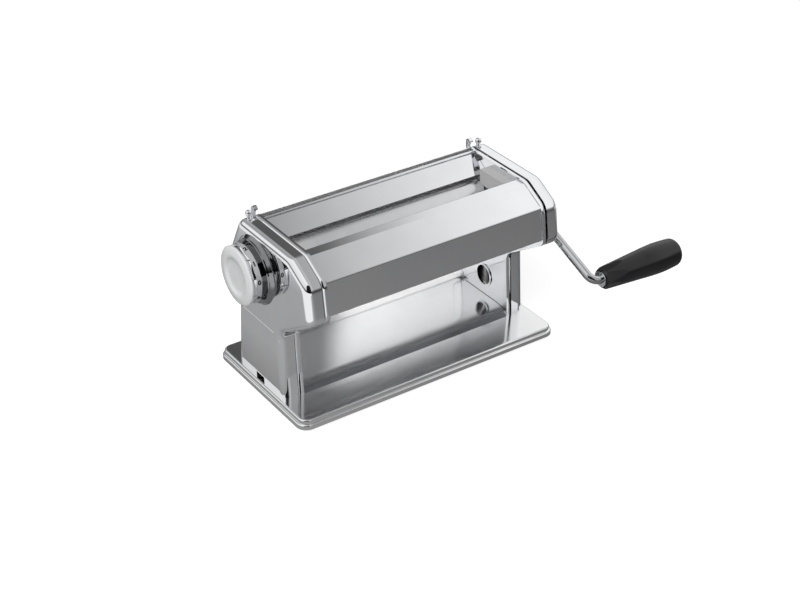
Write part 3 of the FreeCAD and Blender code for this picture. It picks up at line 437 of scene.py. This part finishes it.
def dull_inside(made, turn_from, turn_to, behind_y):
    tree = made.node_tree
    shader = tree.nodes["Principled BSDF"].inputs
    here = add_node(tree, "ShaderNodeTexCoord").outputs
    facing_y = add_node(tree, "ShaderNodeSeparateXYZ", Vector=here["Normal"]).outputs["Y"]
    place_y = add_node(tree, "ShaderNodeSeparateXYZ", Vector=here["Object"]).outputs["Y"]
    inside = combine(tree, "MULTIPLY", soft_step(tree, facing_y, turn_from, turn_to),
                     soft_step(tree, place_y, behind_y - mask_edge, behind_y))
    metal = add_node(tree, "ShaderNodeMapRange", Value=inside, To_Min=1.0, To_Max=dull_metal)
    rough = add_node(tree, "ShaderNodeMix", Factor=inside, A=place_surface(tree, polished)["Roughness"],
                     B=place_surface(tree, brushed)["Roughness"])
    feed(tree, shader["Metallic"], metal.outputs["Result"])
    feed(tree, shader["Roughness"], rough.outputs["Result"])


dull_inside(wall_sheet, 0.10, -0.30, behind_y=-1.0)
dull_inside(frame_sheet, -0.50, -0.90, behind_y=0.030)
print("two-sided finishes", wall_sheet.name, frame_sheet.name)

# %% [markdown]
# ## Dressing the solids
#
# The record names a material slot for every node, and a slot's finish would do for most of them. A few nodes share
# a slot with others and still look different on the real machine, such as the base, which is polished less than
# the covers. They get a finish of their own. The dial collar gets one too: a polish with a dark base colour, which
# is a painted dark reflection standing in for the dark that the chrome collar mirrors.

# %% Give every solid its finish
slot_finishes = {
    "chrome_sheet": chrome_sheet, "chrome_dial": chrome_dial, "crank_steel": crank_steel,
    "satin_roller": satin_roller, "satin_ring": satin_ring, "steel": plain_steel,
    "white_face": white_face, "black_grip": black_grip, "black_rubber": black_rubber,
    "white_nylon": white_nylon, "grey_plastic": grey_plastic,
}
own_finishes = {
    "rear_cover": wall_sheet, "left_side_frame": frame_sheet, "right_side_frame": frame_sheet,
    "base_plate": base_sheet, "dial_collar": collar_painted_dark,
}
for subpart in frame["record"]["subparts"]:
    made = own_finishes.get(subpart["node"], slot_finishes[subpart["material_slot"]])
    for slot in nodes[subpart["node"]].material_slots:
        slot.material = made

# %% [markdown]
# ## Dial face
#
# The face is a white cap with a round rim and a shallow dish for the palm. A lathe would turn it in one
# go, and a Screw modifier on a profile would do the same. This cell starts from the cap's back disc and
# extrudes it forward ring by ring, widening or narrowing each ring, first over the rim and then down into
# the dish, because each ring is then one pair of numbers: how far behind the front it lies, and its
# radius.

# %% Find the dial's axle and list the rings
dial_turn = next(joint for joint in frame["joints"] if joint["name"] == "dial_turn")
dial_y, dial_z = dial_turn["pos_m"][1:]
cap_front_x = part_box("dial_face_cap")[0][0]
cap_back, cap_radius = 0.0021, 0.0229
rim_rings = [(0.0017, 0.0230), (0.0012, 0.0226), (0.0008, 0.0217), (0.0005, 0.0205), (0.0002, 0.0188),
             (0.0, 0.0170)]
dish_rings = [(0.0, 0.0156), (0.0002, 0.0147), (0.0006, 0.0140), (0.0011, 0.0134), (0.0014, 0.0126),
              (0.0016, 0.0110), (0.0016, 0.0050)]
print("dial axle at y", dial_y, "z", dial_z, "front at x", round(cap_front_x, 4))

# %% Turn the dial face
bpy.ops.object.select_all(action="DESELECT")
bpy.ops.mesh.primitive_circle_add(vertices=128, radius=cap_radius, fill_type="NGON",
                                  location=(cap_front_x + cap_back, dial_y, dial_z),
                                  rotation=(0.0, -math.pi / 2.0, 0.0))
dial_face = bpy.context.object
dial_face.name = "dial_face"
bpy.ops.object.transform_apply(location=True, rotation=True, scale=True)
bpy.ops.object.mode_set(mode="EDIT")
bpy.ops.mesh.select_all(action="SELECT")
ring_back, ring_radius = cap_back, cap_radius
for back, radius in rim_rings + dish_rings:
    bpy.ops.mesh.extrude_region_move(TRANSFORM_OT_translate={"value": (back - ring_back, 0.0, 0.0)})
    bpy.ops.transform.resize(value=(1.0, radius / ring_radius, radius / ring_radius),
                             center_override=(cap_front_x + back, dial_y, dial_z))
    ring_back, ring_radius = back, radius
print("rings", len(rim_rings), "over the rim,", len(dish_rings), "into the dish")

# %% Close its back and finish it
bpy.ops.mesh.select_all(action="DESELECT")
bpy.ops.mesh.select_non_manifold()
bpy.ops.mesh.edge_face_add()
bpy.ops.mesh.select_all(action="SELECT")
bpy.ops.mesh.normals_make_consistent(inside=False)
bpy.ops.object.mode_set(mode="OBJECT")
bpy.ops.object.shade_smooth_by_angle(angle=math.radians(40.0))
dial_face.data.materials.append(white_face)
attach(dial_face, "dial")
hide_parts("dial_face_cap")
print("dial face", len(dial_face.data.polygons), "faces")

# %% [markdown]
# ## Dial grip
#
# Fingers turn the dial by ten broad plates round it, parted by narrow dark grooves. The grooves could be
# cut into a ring with ten booleans. One plate is simpler: a slice of a drum, cut by planes on all
# four sides, with its edges softened. The slice is copied round the axle, and a plain core and a thin
# front rim carry the plates.

# %% Cut one plate from a drum
plate_count = 10
plate_front, plate_back = 0.0025, 0.0060
plate_length = plate_back - plate_front
plate_root, plate_flat, drum_radius = 0.0200, 0.0221, 0.0231
half_groove = 1.1
half_plate = math.radians(360.0 / plate_count / 2.0 - half_groove)
side_y, side_z = -math.sin(half_plate), math.cos(half_plate)
cuts = [((0.0, 0.0, 0.0), (0.0, side_y, side_z)), ((0.0, 0.0, 0.0), (0.0, side_y, -side_z)),
        ((0.0, plate_root, 0.0), (0.0, -1.0, 0.0)), ((0.0, plate_flat, 0.0), (0.0, 1.0, 0.0))]
bpy.ops.object.select_all(action="DESELECT")
bpy.ops.mesh.primitive_cylinder_add(vertices=180, radius=drum_radius, depth=plate_length,
                                    location=(cap_front_x + (plate_front + plate_back) / 2.0, 0.0, 0.0),
                                    rotation=(0.0, math.pi / 2.0, 0.0))
plate = bpy.context.object
bpy.ops.object.transform_apply(location=True, rotation=True, scale=True)
bpy.ops.object.mode_set(mode="EDIT")
for point, normal in cuts:
    bpy.ops.mesh.select_all(action="SELECT")
    bpy.ops.mesh.bisect(plane_co=point, plane_no=normal, use_fill=True, clear_outer=True)
bpy.ops.mesh.select_all(action="SELECT")
bpy.ops.mesh.normals_make_consistent(inside=False)
bpy.ops.object.mode_set(mode="OBJECT")
print("plate", [round(v * 1000, 2) for v in plate.dimensions], "mm")

# %% Soften the plate and copy it round the axle
soft_edge = plate.modifiers.new("soft_edge", "BEVEL")
soft_edge.width = 0.00022
soft_edge.segments = 2
soft_edge.limit_method = "ANGLE"
soft_edge.angle_limit = math.radians(40.0)
bpy.ops.object.modifier_apply(modifier=soft_edge.name)
grip_pieces = [plate]
for step in range(1, plate_count):
    copy = plate.copy()
    copy.data = plate.data.copy()
    bpy.context.scene.collection.objects.link(copy)
    copy.rotation_euler = (2.0 * math.pi * step / plate_count, 0.0, 0.0)
    grip_pieces.append(copy)
print("plates", len(grip_pieces), "with", len(plate.data.polygons), "faces each")

# %% Add the core and the front rim
core_front, core_back, core_radius = 0.0021, 0.0097, 0.0212
rim_front, rim_back, rim_radius = 0.0021, 0.0024, 0.0234
drums = [(core_front, core_back, core_radius), (rim_front, rim_back, rim_radius)]
for drum_front, drum_back, radius in drums:
    bpy.ops.object.select_all(action="DESELECT")
    bpy.ops.mesh.primitive_cylinder_add(vertices=128, radius=radius, depth=drum_back - drum_front,
                                        location=(cap_front_x + (drum_front + drum_back) / 2.0, 0.0, 0.0),
                                        rotation=(0.0, math.pi / 2.0, 0.0))
    drum = bpy.context.object
    drum_edge = drum.modifiers.new("drum_edge", "BEVEL")
    drum_edge.width = 0.00012
    drum_edge.segments = 2
    bpy.ops.object.modifier_apply(modifier=drum_edge.name)
    grip_pieces.append(drum)
print("grip pieces", len(grip_pieces))

# %% Join the grip and put it on the axle
bpy.ops.object.select_all(action="DESELECT")
for piece in grip_pieces:
    piece.select_set(True)
    piece.location.y = dial_y
    piece.location.z = dial_z
bpy.context.view_layer.objects.active = plate
bpy.ops.object.transform_apply(location=True, rotation=True, scale=True)
bpy.ops.object.join()
dial_grip = bpy.context.object
dial_grip.name = "dial_grip"
bpy.ops.object.shade_smooth_by_angle(angle=math.radians(30.0))
dial_grip.data.materials.clear()
dial_grip.data.materials.append(chrome_dial)
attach(dial_grip, "dial")
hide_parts("dial_body")
print("dial grip", len(dial_grip.data.polygons), "faces")

# %% [markdown]
# ## Spring in the dial
#
# Pulling the dial out presses a one-turn spring between the dial's web and the retainer on the shaft.
# A curve with a round bevel could be the wire. A circle swept by a Screw modifier is closer to how a winding
# machine lays it, and needs only the turn's height. On the machine one end stays with the shaft and the other goes
# with the dial, so the turn flattens when the dial is pulled; this coil is laid where the spring stands and is
# tied to neither.

# %% Wind the dial's spring
spring_low, spring_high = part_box("dial_spring")
wire_radius = 0.00035
coil_radius = spring_high[1] - dial_y - wire_radius
coil_height = spring_high[0] - spring_low[0] - 2.0 * wire_radius
bpy.ops.object.select_all(action="DESELECT")
bpy.ops.mesh.primitive_circle_add(vertices=12, radius=wire_radius,
                                  location=(spring_low[0] + wire_radius, 0.0, coil_radius),
                                  rotation=(math.pi / 2.0, 0.0, 0.0))
dial_coil = bpy.context.object
dial_coil.name = "dial_coil"
bpy.ops.object.transform_apply(location=True, rotation=True, scale=True)
winding = dial_coil.modifiers.new("winding", "SCREW")
winding.axis = "X"
winding.angle = 2.0 * math.pi
winding.screw_offset = coil_height
winding.steps = 96
winding.render_steps = 96
bpy.ops.object.modifier_apply(modifier=winding.name)
print("coil", [round(v * 1000, 2) for v in dial_coil.dimensions], "mm")

# %% Close the wire's ends and hang it between shaft and dial
dial_coil.location = (0.0, dial_y, dial_z)
bpy.ops.object.transform_apply(location=True, rotation=True, scale=True)
bpy.ops.object.mode_set(mode="EDIT")
bpy.ops.mesh.select_all(action="SELECT")
bpy.ops.mesh.fill_holes(sides=0)
bpy.ops.mesh.normals_make_consistent(inside=False)
bpy.ops.object.mode_set(mode="OBJECT")
bpy.ops.object.shade_smooth_by_angle(angle=math.radians(50.0))
dial_coil.data.materials.append(plain_steel)
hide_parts("dial_spring")
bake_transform(dial_coil)
print("coil", len(dial_coil.data.polygons), "faces")

# %% [markdown]
# ## Numbers on the scale ring
#
# The ring behind the dial's grip carries ten plain numbers, one for each setting. They are printed, so
# each is a thin text made into a mesh and laid round the cone of the ring. A Curve modifier could wrap
# them, but the ring is a cone, so each corner is moved by a formula: the text's height runs round the
# axle and its width along the ring. Zero stands at the index mark when the gap is widest.

# %% Lay out the ring
ring_low, ring_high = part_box("dial_scale_ring")
ring_middle_x = (ring_low[0] + ring_high[0]) / 2.0
ring_width = ring_high[0] - ring_low[0]
print_radius = 0.0229
ring_rise = 0.0007
ink_rise = 0.00005
index_angle = math.radians(172.0)
setting_angle = math.radians(36.0)


def lay_on_ring(corner, middle_angle):
    angle = middle_angle - corner.y / print_radius
    radius = print_radius + corner.x / ring_width * ring_rise + ink_rise
    return (ring_middle_x + corner.x, dial_y + radius * math.cos(angle), dial_z + radius * math.sin(angle))


print("ring", round(ring_width * 1000, 2), "mm wide")

# %% Print the numbers
number_size = 0.0048
number_boldness = 0.00026
numbers = []
for setting in range(10):
    bpy.ops.object.select_all(action="DESELECT")
    bpy.ops.object.text_add()
    text = bpy.context.object
    text.data.body = str(setting)
    text.data.size = number_size
    text.data.offset = number_boldness
    text.data.align_x = "CENTER"
    text.data.align_y = "CENTER"
    bpy.ops.object.convert(target="MESH")
    number = bpy.context.object
    for vertex in number.data.vertices:
        vertex.co = lay_on_ring(vertex.co, index_angle - setting_angle * setting)
    numbers.append(number)
print("numbers", len(numbers))

# %% Join the numbers on the dial
bpy.ops.object.select_all(action="DESELECT")
for number in numbers:
    number.select_set(True)
bpy.context.view_layer.objects.active = numbers[0]
bpy.ops.object.join()
dial_numbers = bpy.context.object
dial_numbers.name = "dial_numbers"
dial_numbers.data.materials.clear()
dial_numbers.data.materials.append(black_grip)
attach(dial_numbers, "dial")
print("dial numbers", len(dial_numbers.data.polygons), "faces")
